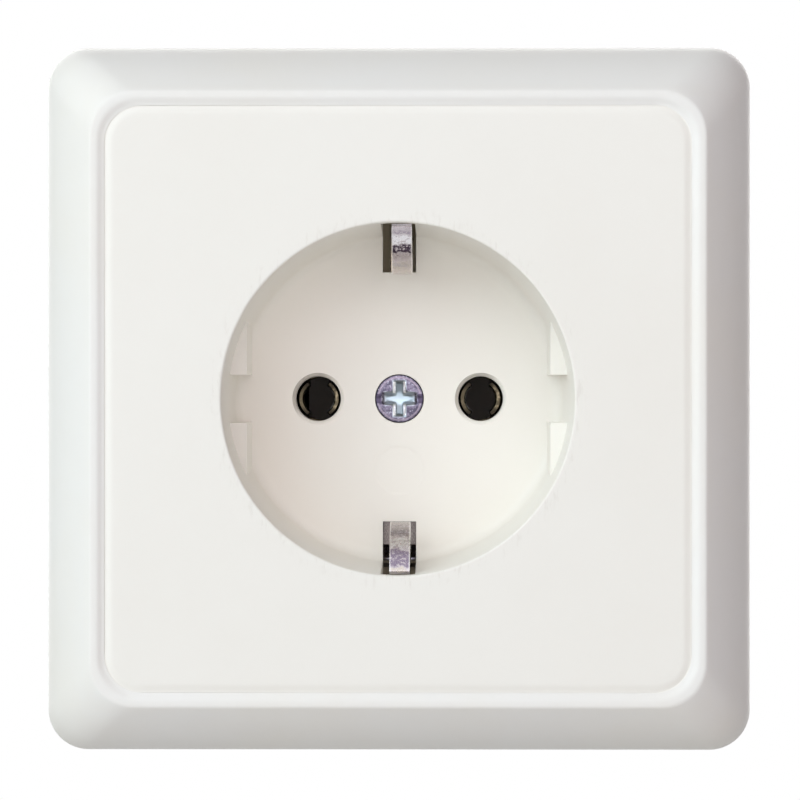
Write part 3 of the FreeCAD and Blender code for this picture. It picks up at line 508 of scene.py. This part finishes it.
def headPaint(finish, colour):
    # stain and painted glints on the face, then the painted highlight ring, the cross with painted light on
    # its sloping walls, and its painted rim highlights
    s = headMarks
    x, _, z = finish.axes()
    a, b, away = abs(x), abs(z), (x * x + z * z).root()
    wobble = (finish.noise(0.5, 2) - 0.5) * 0.35
    stained = finish.noise(0.45, 3, 0.7).ramp(0.40, 0.60)
    shining = finish.noise(0.30, 2, 0.6).ramp(0.56, 0.68)

    def line(value, place, half):
        return 1 - abs(value - place + wobble * 0.3).ramp(half, half * 1.7)

    colour = finish.blend(stained * s["stainShare"], colour, s["stain"])
    colour = finish.blend(shining * s["glintShare"], colour, s["glint"])
    colour = finish.blend(line(away, s["ringPlace"], s["ringHalf"]) * s["ringShare"], colour, s["ring"])
    for name, start, end in (("slope", 0, 0.3), ("arm", -0.2, 0.2)):
        for thin, long, reach in zip((a, b), (b, a), s["armReach"]):
            side = 1 - (thin + wobble * 0.5).ramp(*s[name + "Half"])
            inside = side * (1 - long.ramp(reach + start, reach + end))
            colour = finish.blend(inside * s["armShare"], colour, s[name])
    # painted light on the middle of the cross
    star = (b + a * 0.34 + wobble).ramp(0.42, 0.72)
    colour = finish.blend((1 - star) * (1 - a.ramp(1.5, s["middleReach"])), colour, s["middle"])
    colour = finish.blend((1 - (away + wobble).ramp(0.5, 0.95)) * 0.9, colour, s["middle"])
    # painted highlights along the cross's rim
    low, high = s["rimReach"]
    rimHighlights = line(a, s["rimPlace"], s["rimHalf"]) * band(b, (low, low + 0.15, high - 0.1, high))
    colour = finish.blend(rimHighlights, colour, s["rim"])
    # painted shade at the dark ends of the slot
    ends = a.ramp(s["endPlace"], s["endPlace"] + 0.2) * (1 - b.ramp(s["endHalf"], s["endHalf"] + 0.1))
    return finish.blend(ends * 0.9, colour, s["end"])


def metalFinish(name, light, dark, roughness, streak):
    # plated or rolled metal: cloudy tarnish, fine streaks along one way, small scratches
    finish = Finish(name, Metallic=1.0)
    along = finish.stretched(streak)
    tarnish = finish.noise(3.2, 4, 0.65)
    lines = finish.noise(0.35, 3, 0.6, along)
    colour = finish.blend(tarnish.ramp(0.35, 0.72) * 0.55 + lines * 0.25, light, dark)
    paint = {"platedStrap": clipPaint, "headZinc": headPaint, "brassSheet": brassPaint}.get(name)
    finish.set("Base Color", paint(finish, colour) if paint else colour)
    finish.set("Roughness", lines * 0.16 + tarnish * 0.14 + (roughness - 0.14))
    scratches = finish.bump(finish.noise(0.12, 2, 0.6, along), 0.004)
    finish.set("Normal", finish.bump(finish.noise(1.4, 2), 0.010, scratches))
    return finish.material


metal = {name: metalFinish(name, **sizes) for name, sizes in metals.items()}
print("finishes made")

# cover frame
coverFrame = {
    "half": 40.25, "height": 10.8, "crestInset": 5.75, "bevelPower": 1.9, "beadTop": 0.8, "beadSlope": 0.8,
    "beadRise": 0.34, "beadRound": 0.26, "corner": 4.6, "crestCorner": 5.0, "openingCorner": 4.2,
    "plateBack": -8.2, "ledge": 4.9, "ledgeThick": 1.6, "ledgeCorner": 2.8, "wall": 2.0, "hollowCorner": 2.6,
}


def makeCoverFrame(s):
    # a closed profile (inset from the side, depth, corner radius) carried round rounded squares;
    # the outer bevel is inset = crestInset * (height share) ^ bevelPower
    share = np.linspace(0, 1, 22)
    bevel = np.column_stack([
        s["crestInset"] * share ** s["bevelPower"], -s["height"] * share,
        s["corner"] + (s["crestCorner"] - s["corner"]) * share,
    ])
    inner = s["crestInset"] + s["beadTop"]
    opening = inner + s["beadSlope"]
    ledgeBack = s["plateBack"] + s["ledgeThick"]
    hollow = s["wall"] + s["crestInset"] * (-ledgeBack / s["height"]) ** s["bevelPower"]
    corners = [
        (*bevel[-2],), (*bevel[-1],), (inner, -s["height"], s["openingCorner"] + 0.5),
        (opening - 0.25, s["beadRise"] - 0.05 - s["height"], s["openingCorner"] + 0.1),
        (opening, s["beadRise"] - s["height"], s["openingCorner"]),
        (opening, s["plateBack"], s["openingCorner"]),
        (opening + s["ledge"], s["plateBack"], s["ledgeCorner"]),
        (opening + s["ledge"], ledgeBack, s["ledgeCorner"]), (hollow, ledgeBack, s["hollowCorner"]),
        (s["wall"], 0.0, s["hollowCorner"]),
    ]
    r = s["beadRound"]
    rest = softProfile(corners, [0, r, r, 0.3, 0.04, 0.1, 0.15, 0.15, 0.3, 0])
    profile = np.concatenate([bevel[:-2], rest])
    rows = [atDepth(squareLoop(s["half"] - inset, corner), depth) for inset, depth, corner in profile]
    rows.append(rows[0])
    shell = Shell()
    shell.grid(np.array(rows))
    thing = shell.piece("coverFrameShell", framePlastic, 50)
    keepPiece(thing, "frame_plastic", "cover_frame")


makeCoverFrame(coverFrame)
print("cover frame made")

# centre plate with the well
centrePlate = {
    "half": 32.885, "corner": 4.0, "face": -10.6, "back": -8.2, "edgeWidth": 0.78, "edgeDrop": 0.20,
    "rim": 19.8, "rimRound": 0.32, "floorRadius": 19.1, "floor": 7.3, "floorRound": 1.5, "floorBack": 9.3,
    "outside": 21.6, "slotHalf": 1.95, "slotStart": (14.75, 14.35), "slotTop": -9.4,
    "pin": 2.64, "pinLip": (0.36, 0.30), "pinBack": 2.60, "pinPlace": 9.5,
    "bore": 2.86, "boreDepth": 9.4, "passage": 1.65, "boss": 4.0, "bossBack": 10.5,
    "mark": 2.85, "markPlace": -8.4, "markDepth": 0.05, "skirtHalf": 27.75, "skirtThick": 1.2,
    "skirtBack": -5.2, "padLedge": -2.2, "padFace": 17.35, "padDraft": 0.12, "padChannel": 2.75,
    "padWall": 20.8, "perSide": 96, "perSlot": 6, "edge": 0.14,
}


def makeCentrePlate(s):
    # the well is a profile (radius, depth) turned round the axis, with its columns drawn in to the
    # edges of the two clip slots; flats are filled between their loops
    shell = Shell()
    sides, gap = s["perSide"], s["perSlot"]
    columns = 2 * (sides + gap)
    inSlot = np.zeros(columns, bool)
    inSlot[sides:sides + gap] = True
    inSlot[2 * sides + gap:] = True

    def wellLoop(radius):
        edge = math.asin(s["slotHalf"] / radius)
        wide = np.linspace(edge, np.pi - edge, sides + 1)[:-1]
        narrow = np.linspace(np.pi - edge, np.pi + edge, gap + 1)[:-1]
        turn = np.concatenate([wide, narrow, wide + np.pi, narrow + np.pi])
        return np.column_stack([radius * np.sin(turn), radius * np.cos(turn)])

    def wellRows(profile, keep=None):
        rows = np.array([atDepth(wellLoop(radius), depth) for radius, depth in profile])
        shell.grid(rows, keep=keep)

    # rounded rim, then the drafted wall, open at the slots below their top
    face, floor, rim, floorBack = s["face"], s["floor"], s["rim"], s["floorBack"]
    slope = (rim - s["floorRadius"]) / (floor - face)
    wallAt = lambda depth: rim - slope * (depth - face)
    wall = softProfile([
        (rim + 1, face), (rim, face), (wallAt(s["slotTop"]), s["slotTop"]),
    ], [0, s["rimRound"], 0], 6)[1:]
    below = np.linspace(s["slotTop"], floor - s["floorRound"] - 0.1, 13)
    high, inner = below[-1] - 9, s["floorRadius"] - 9
    corners = [(wallAt(high), high), (s["floorRadius"], floor), (inner, floor)]
    foot = softProfile(corners, [0, s["floorRound"], 0], 8)
    lower = np.concatenate([np.column_stack([wallAt(below), below]), foot[1:-1]])
    wellRows(wall)
    wellRows(lower, np.broadcast_to(~inSlot, (len(lower) - 1, columns)))
    rimLoop, floorLoop = wellLoop(wall[0][0]), wellLoop(lower[-1][0])
    # outside of the cup, the blind end of each slot and the slot's roof
    outer = wellLoop(s["outside"])
    wellRows([(s["outside"], s["slotTop"]), (s["outside"], s["back"])], inSlot[None])
    wellRows([(s["outside"], s["back"]), (s["outside"], floorBack)], ~inSlot[None])
    wellRows([(wallAt(s["slotTop"]), s["slotTop"]), (s["outside"], s["slotTop"])], inSlot[None])
    # side walls of the slots and their inner ends
    for column, sign in ((0, 1), (sides, -1), (sides + gap, -1), (2 * sides + gap, 1)):
        x = wellLoop(s["outside"])[column][0]
        z = s["slotStart"][sign < 0] * sign
        edge = [(x, depth, wellLoop(radius)[column][1]) for radius, depth in lower]
        far = wellLoop(s["outside"])[column][1]
        edge += [(x, floor, z), (x, floorBack, z)]
        edge += [(x, depth, far) for depth in (floorBack, s["back"], s["slotTop"])]
        shell.add(edge, [range(len(edge))])
    for sign in (1, -1):
        z, h = s["slotStart"][sign < 0] * sign, s["slotHalf"]
        shell.add([(-h, floor, z), (h, floor, z), (h, floorBack, z), (-h, floorBack, z)], [range(4)])

    # floor of the well, front and back, with its holes
    def notched(loop):
        h, (upper, lower) = s["slotHalf"], s["slotStart"]
        return np.concatenate([
            loop[:sides + 1], [(h, -lower), (-h, -lower)], loop[sides + gap:2 * sides + gap + 1],
            [(-h, upper), (h, upper)],
        ])

    # each pin hole has a sloping lip, wide and deep as given, whose two edges are a little rounded
    wide, deep = s["pinLip"]
    pin, lip = s["pin"], s["pin"] + wide
    pinWall = softProfile([
        (lip + 1, floor), (lip, floor), (pin, floor + deep), (s["pinBack"], floorBack),
    ], [0, 0.06, 0.06, 0], 3)[1:]
    pinRows = [[atDepth(circleLoop(radius, 64, side * s["pinPlace"]), depth) for radius, depth in pinWall]
               for side in (1, -1)]
    pins, pinsBehind = [[rows[i][:, (0, 2)] for rows in pinRows] for i in (0, -1)]
    bore, boss = circleLoop(s["bore"], 64), circleLoop(s["boss"], 64)
    mark = circleLoop(s["mark"], 64, 0, s["markPlace"])
    guard = circleLoop(s["mark"] + 0.15, 64, 0, s["markPlace"])
    sunk = circleLoop(s["mark"] - 0.12, 64, 0, s["markPlace"])
    passage = circleLoop(s["passage"], 48)

    def offHoles(x, z, radius, middle, pin, extra):
        keep = (np.hypot(x, z) < radius) & (np.hypot(x, z) > middle)
        keep &= (np.abs(x) > s["slotHalf"]) | (z < s["slotStart"][0]) & (z > -s["slotStart"][1])
        for side in (1, -1):
            keep &= np.hypot(x - side * s["pinPlace"], z) > pin
        return keep & (np.hypot(x, z - s["markPlace"]) > extra)

    shell.fill([notched(floorLoop), *pins, bore, guard], floor,
               lambda x, z: offHoles(x, z, s["floorRadius"], s["bore"], pinWall[0][0], s["mark"] + 0.14))
    shell.grid(np.array([atDepth(guard, floor), atDepth(mark, floor)]))
    shell.grid(np.array([atDepth(mark, floor), atDepth(sunk, floor + s["markDepth"])]))
    shell.fill([sunk], floor + s["markDepth"], lambda x, z: np.hypot(x, z - s["markPlace"]) < s["mark"])
    shell.fill([notched(outer), *pinsBehind, boss], floorBack,
               lambda x, z: offHoles(x, z, s["outside"], s["boss"] - 0.01, s["pinBack"], 0))
    for rows in pinRows:
        shell.grid(np.array(rows))
    shell.grid(np.array([atDepth(bore, floor), atDepth(bore, s["boreDepth"])]))
    shell.fill([bore, passage], s["boreDepth"], lambda x, z: np.hypot(x, z) > s["passage"])
    shell.grid(np.array([atDepth(passage, s["boreDepth"]), atDepth(passage, s["bossBack"])]))
    shell.fill([boss, passage], s["bossBack"], lambda x, z: np.hypot(x, z) > s["passage"])
    shell.grid(np.array([atDepth(boss, floorBack), atDepth(boss, s["bossBack"])]))
    # the plate itself: face, rounded edge, back and skirt
    across, drop = s["edgeWidth"], s["edgeDrop"]
    edge = softProfile([
        (s["half"] - 2, face), (s["half"] - across, face), (s["half"] - 0.2, face + drop),
        (s["half"], face + drop), (s["half"], s["back"]),
    ], [0, 0.3, 0.18, 0.02, 0], 5)[1:]
    ring = lambda half: squareLoop(half, s["corner"] - (s["half"] - half))
    shell.grid(np.array([atDepth(ring(half), depth) for half, depth in edge]))
    shell.fill([ring(edge[0][0]), rimLoop], face, lambda x, z: np.hypot(x, z) > wall[0][0] - 0.005)
    skirtIn = s["skirtHalf"] - s["skirtThick"]
    skirt = squareLoop(s["skirtHalf"], 2.5), squareLoop(skirtIn, 1.3)
    shell.fill([ring(s["half"]), skirt[0]], s["back"],
               lambda x, z: np.maximum(np.abs(x), np.abs(z)) > s["skirtHalf"] - 0.75)
    shell.fill([skirt[1], outer], s["back"], lambda x, z: np.hypot(x, z) > s["outside"] - 0.01)
    shell.grid(np.array([atDepth(skirt[0], s["back"]), atDepth(skirt[0], s["skirtBack"])]))
    shell.grid(np.array([atDepth(skirt[1], s["back"]), atDepth(skirt[1], s["skirtBack"])]))
    shell.grid(np.array([atDepth(skirt[0], s["skirtBack"]), atDepth(skirt[1], s["skirtBack"])]))
    # four guide pads, each a flat face, a channel side and a piece of the wall's arc
    wallRadius = s["padWall"]
    for side in (1, -1):
        for half in (1, -1):
            rows = []
            for depth, reach in ((floor + 0.5, s["padFace"] - s["padDraft"]), (s["padLedge"], s["padFace"])):
                arc = np.linspace(math.asin(s["padChannel"] / wallRadius), math.acos(reach / wallRadius), 12)
                spots = np.column_stack([wallRadius * np.cos(arc), wallRadius * np.sin(arc)])
                spots = np.concatenate([[(reach, s["padChannel"])], spots]) * (side, half)
                rows.append(atDepth(spots, depth))
            shell.grid(np.array(rows))
            for row in rows:
                shell.add(row, [range(len(row))])
    thing = shell.piece("centrePlateShell", platePlastic)
    finishEdges(thing, s["edge"], 38)
    keepPiece(thing, "plate_plastic", "centre_plate")


makeCentrePlate(centrePlate)
print("centre plate made")

# screws, with a recess sunk into the head and a thread on the shank
screws = {
    "centre_screw": {
        "name": "centreScrewZinc", "turn": None, "at": (0.0, 0.0), "front": 7.4, "facing": 1, "head": 2.8,
        "thick": 2.0, "chamfer": 0.08, "dome": 0.10, "shank": 1.5, "length": 8.0, "pitch": 0.5,
        "blade": 0.70, "bladeDepth": 0.12, "arm": 1.15, "armLength": 2.0, "armDepth": 0.55, "slope": 0.66,
        "finish": "headZinc",
    },
}
for side, place in ((1, "upper"), (-1, "lower")):
    screws[f"{place}_cover_screw"] = {
        "name": f"{place}CoverScrewZinc", "turn": None, "at": (-13.504 * side, 13.504 * side), "front": 31.6,
        "facing": -1, "head": 2.4, "thick": 1.4, "chamfer": 0.45, "dome": 0.25, "shank": 1.25, "length": 10.0,
        "pitch": 0.6, "blade": 0.0, "bladeDepth": 0.0, "arm": 0.85, "armLength": 1.35, "armDepth": 0.85,
        "slope": 0.25,
    }
for quarter, place in ((0, "right"), (1, "earth"), (2, "left")):
    screws[f"{place}_terminal_screw"] = {
        "name": f"{place}TerminalScrewZinc", "turn": quarter, "at": (24.5, 0.0), "front": 19.5,
        "facing": -1, "head": 3.1, "thick": 2.2, "chamfer": 0.3, "dome": 0.0, "shank": 1.75, "length": 4.9,
        "pitch": 0.7, "blade": 0.9, "bladeDepth": 1.1, "arm": 1.1, "armLength": 2.0, "armDepth": 1.4,
        "slope": 0.2,
    }


def recess(a, b, s):
    # depth below the head's face: the deeper of a straight slot along a and of a cross whose arms
    # are blended at the middle; each falls off over the width of its sloping wall
    def step(distance):
        t = np.clip(0.5 - distance / s["slope"], 0, 1)
        return t ** 2 * (3 - 2 * t)

    across = np.maximum(np.abs(a) - s["arm"] / 2, np.abs(b) - s["armLength"])
    along = np.maximum(np.abs(b) - s["arm"] / 2, np.abs(a) - s["armLength"])
    soft = 7.0
    cross = -np.log(np.exp(-soft * across) + np.exp(-soft * along)) / soft
    taper = 1 - 0.45 * np.minimum(1, np.hypot(a, b) / s["armLength"]) ** 1.5
    deep = s["armDepth"] * taper * step(cross)
    if s["blade"]:
        deep = np.maximum(deep, s["bladeDepth"] * step(np.abs(b) - s["blade"] / 2))
    return deep


def makeScrew(source, s):
    # rows of points round the axis: face with its recess, chamfer, side, seat and a helical thread,
    # where the thread's radius is the shank's less a wave of (depth / pitch - turn)
    around = 144
    turns = np.linspace(0, 2 * np.pi, around, endpoint=False)
    flat = s["head"] - s["chamfer"]

    def ring(radius, depth):
        return np.column_stack([radius * np.sin(turns), np.full(around, depth), radius * np.cos(turns)])

    radii = np.concatenate([np.linspace(0.02, flat, 46), flat + s["chamfer"] * np.array([0.35, 0.7, 1.0])])
    fall = np.interp(radii, [0, flat, s["head"]], [0, 0, s["chamfer"] * 0.8])
    fall += s["dome"] * (radii / s["head"]) ** 2
    rows = []
    for radius, drop in zip(radii, fall):
        a, b = radius * np.sin(turns), radius * np.cos(turns)
        rows.append(np.column_stack([a, np.maximum(drop, recess(a, b, s)), b]))
    head, thick, soft = s["head"], s["thick"], 0.12
    rows += [ring(head, thick - soft), ring(head - soft, thick), ring(s["shank"], thick)]
    reach = thick + s["length"]
    for depth in np.arange(thick + 0.3, reach - 0.3, s["pitch"] / 6):
        wave = 0.5 + 0.5 * np.cos(2 * np.pi * depth / s["pitch"] - turns)
        rows.append(ring(s["shank"] - 0.30 * s["pitch"] * wave, depth))
    rows += [ring(s["shank"] * 0.75, reach - 0.1), ring(s["shank"] * 0.6, reach), ring(0.02, reach)]
    shape = np.array(rows)
    shape[..., 1] = s["front"] + s["facing"] * shape[..., 1]
    if s["turn"] is None:
        shape[..., 0] += s["at"][0]
        shape[..., 2] += s["at"][1]
    else:
        # lay the axis along X, then turn it about the well's axis
        shape = np.stack([shape[..., 1], s["at"][0] + shape[..., 0], shape[..., 2]], -1)
        c, d = math.cos(s["turn"] * math.pi / 2), math.sin(s["turn"] * math.pi / 2)
        shape = np.stack([shape[..., 0] * c, shape[..., 1], -shape[..., 0] * d], -1) + np.stack(
            [shape[..., 2] * d, shape[..., 1] * 0, shape[..., 2] * c], -1)
    shell = Shell()
    shell.grid(shape)
    shell.add(shape[0], [range(around)])
    shell.add(shape[-1], [range(around)])
    thing = shell.piece(s["name"], metal[s.get("finish", "zincSteel")], 45)
    keepPiece(thing, "zinc_steel", source)


for source, sizes in screws.items():
    makeScrew(source, sizes)
print("screws made")

# pieces that keep the CAD node's shape
metalCopies = [
    ("support_ring", "supportRingSheet", "ring_steel", "ringSteel", 0.15),
    ("right_contact_spring", "rightSpringRing", "spring_steel", "springSteel", 0.10),
    ("left_contact_spring", "leftSpringRing", "spring_steel", "springSteel", 0.10),
    ("screw_bush", "screwBushBrass", "brass", "brassSheet", 0.12),
    ("upper_rivet", "upperRivetMetal", "rivet_metal", "rivetMetal", 0.20),
    ("lower_rivet", "lowerRivetMetal", "rivet_metal", "rivetMetal", 0.20),
]
for place in ("right", "left", "earth"):
    metalCopies.append((f"{place}_clamp_plate", f"{place}ClampPlateZinc", "zinc_steel", "zincSteel", 0.18))
for source, name, slot, finish, width in metalCopies:
    softenedCopy(source, name, slot, metal[finish], width)


def pinchedSleeve(side, s):
    # the sleeve drawn in towards the pin's axis, most at its mouth, with a thinner wall
    def reshape(points):
        x, y, z = points[:, 0] - side * s["axis"], points[:, 1], points[:, 2]
        radius = np.maximum(np.hypot(x, z), 0.1)
        bore, pinched = [np.interp(y, s["depths"], s[name]) for name in ("bore", "pinched")]
        drawn = (radius < s["reach"]) & (y < s["depths"][2] + 0.1)
        scale = np.where(drawn, (pinched + (radius - bore) * s["wall"]) / radius, 1.0)
        return np.column_stack([side * s["axis"] + x * scale, y, z * scale])
    return reshape


def leaningClips(points):
    # each clip stands a little off its slot's middle and its leg a little inwards, both back to
    # nothing behind the well
    _, y, z = points.T
    aside, inwards = [np.interp(z, bends["clips"], bends[name]) for name in ("aside", "inwards")]
    aside *= np.interp(y, bends["asideDepths"], (1, 0))
    inwards *= np.interp(y, bends["inwardsDepths"], (0, 1, 1, 0))
    return points + np.column_stack([aside, 0 * y, inwards])


softenedCopy("earth_strap", "earthStrapMetal", "plated_strap", metal["platedStrap"], 0.28,
             reshape=leaningClips)
for side, place in ((1, "right"), (-1, "left")):
    softenedCopy(f"{place}_contact", f"{place}ContactBrass", "brass", metal["brassSheet"], 0.16,
                 reshape=pinchedSleeve(side, bends))
softenedCopy("base_housing", "baseHousingShell", "base_plastic", basePlastic, 0.30)
softenedCopy("rear_cover", "rearCoverLid", "cover_plastic", coverPlastic, 0.25)
print("inner and rear pieces made")

# floor, light and camera
studio = {
    "floorHeight": -0.14, "floorHalf": 3.0, "pale": (0.70, 0.70, 0.69), "paler": (0.66, 0.66, 0.65),
    "shadowReach": (0.15, 0.6), "shadowShare": 0.5,
    "skyLeft": (0.33, 0.26, 0.19), "skyRight": (0.02, 0.02, 0.05),
    "keyPower": 7.55, "keyTurn": -45, "keyRise": 27, "keyColour": (0.78, 0.94, 1.02),
    "fillPower": 5.25, "fillTurn": 10, "fillRise": 5, "fillColour": (1.0, 0.94, 0.985),
    "rearPower": 5.5, "rearTurn": 180, "rearRise": 8, "rearColour": (1.0, 0.98, 0.96),
    "lampSize": 1.05, "lampDistance": 1.0,
    "camera": (0.0045, -0.413, 0.001), "aim": (0.00025, -0.0102, -0.00011), "lens": 161.8,
}


def makeFloor(s):
    # a pale floor that glows white to the camera, less so near the object, where it keeps its shadow
    finish = Finish("paleFloor", Roughness=0.9)
    finish.set("Base Color", finish.blend(finish.noise(60, 2) * 0.2, s["pale"], s["paler"]))
    x, y, _ = finish.axes()
    near, far = [reach * 1000 for reach in s["shadowReach"]]
    away = (x * x + y * y).root().ramp(near, far)
    share = finish.showsBackground() * (1 - (1 - away) * s["shadowShare"])
    glow = finish.node("ShaderNodeEmission", {}, {"Color": (1, 1, 1, 1), "Strength": 1.0})[0]
    body = Signal(finish, finish.shader.outputs[0])
    mixed = finish.node("ShaderNodeMixShader", {}, {0: share, 1: body, 2: glow})[0]
    finish.feed(finish.tree.nodes["Material Output"].inputs["Surface"], mixed)
    h, z = s["floorHalf"], s["floorHeight"]
    points = np.array([(-h, -h, z), (h, -h, z), (h, h, z), (-h, h, z)]) / millimetre
    put("studioFloor", points, [range(4)], finish.material)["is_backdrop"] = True


makeFloor(studio)

world = bpy.data.worlds.new("studioWorld")
bpy.context.scene.world = world
world.use_nodes = True
sky = Web(world.node_tree)
across = sky.node("ShaderNodeSeparateXYZ", {}, {"Vector": sky.node("ShaderNodeTexCoord", {}, {})[0]})[0]
light = sky.blend(across.ramp(-1, 1, False), studio["skyLeft"], studio["skyRight"])
background = sky.tree.nodes["Background"]
sky.feed(background.inputs["Color"], sky.blend(sky.showsBackground(), light, (1, 1, 1)))
background.inputs["Strength"].default_value = 1.0


def areaLamp(name, s):
    # a square lamp aimed at the origin; its turn from straight ahead, negative to the left, and its
    # rise are in degrees
    lamp = bpy.data.lights.new(name + "Lamp", "AREA")
    lamp.energy, lamp.size, lamp.color = s[name + "Power"], s["lampSize"], s[name + "Colour"]
    thing = bpy.data.objects.new(name + "Lamp", lamp)
    bpy.context.scene.collection.objects.link(thing)
    turn, rise = math.radians(s[name + "Turn"]), math.radians(s[name + "Rise"])
    way = Vector((math.sin(turn) * math.cos(rise), -math.cos(turn) * math.cos(rise), math.sin(rise)))
    thing.location = way * s["lampDistance"]
    thing.rotation_euler = (-way).to_track_quat("-Z", "Y").to_euler()


for name in ("key", "fill", "rear"):
    areaLamp(name, studio)

camera = bpy.data.objects.new("photoCamera", bpy.data.cameras.new("photoCamera"))
bpy.context.scene.collection.objects.link(camera)
camera.data.lens = studio["lens"]
camera.data.sensor_width = 36.0
camera.data.clip_start = 0.01
camera.location = studio["camera"]
look = Vector(studio["aim"]) - camera.location
camera.rotation_euler = look.to_track_quat("-Z", "Y").to_euler()
bpy.context.scene.camera = camera
bpy.context.scene.view_settings.view_transform = "Standard"
print("studio made")

[[list(map(float, corner)) for corner in box] for box in (cadBox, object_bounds())]
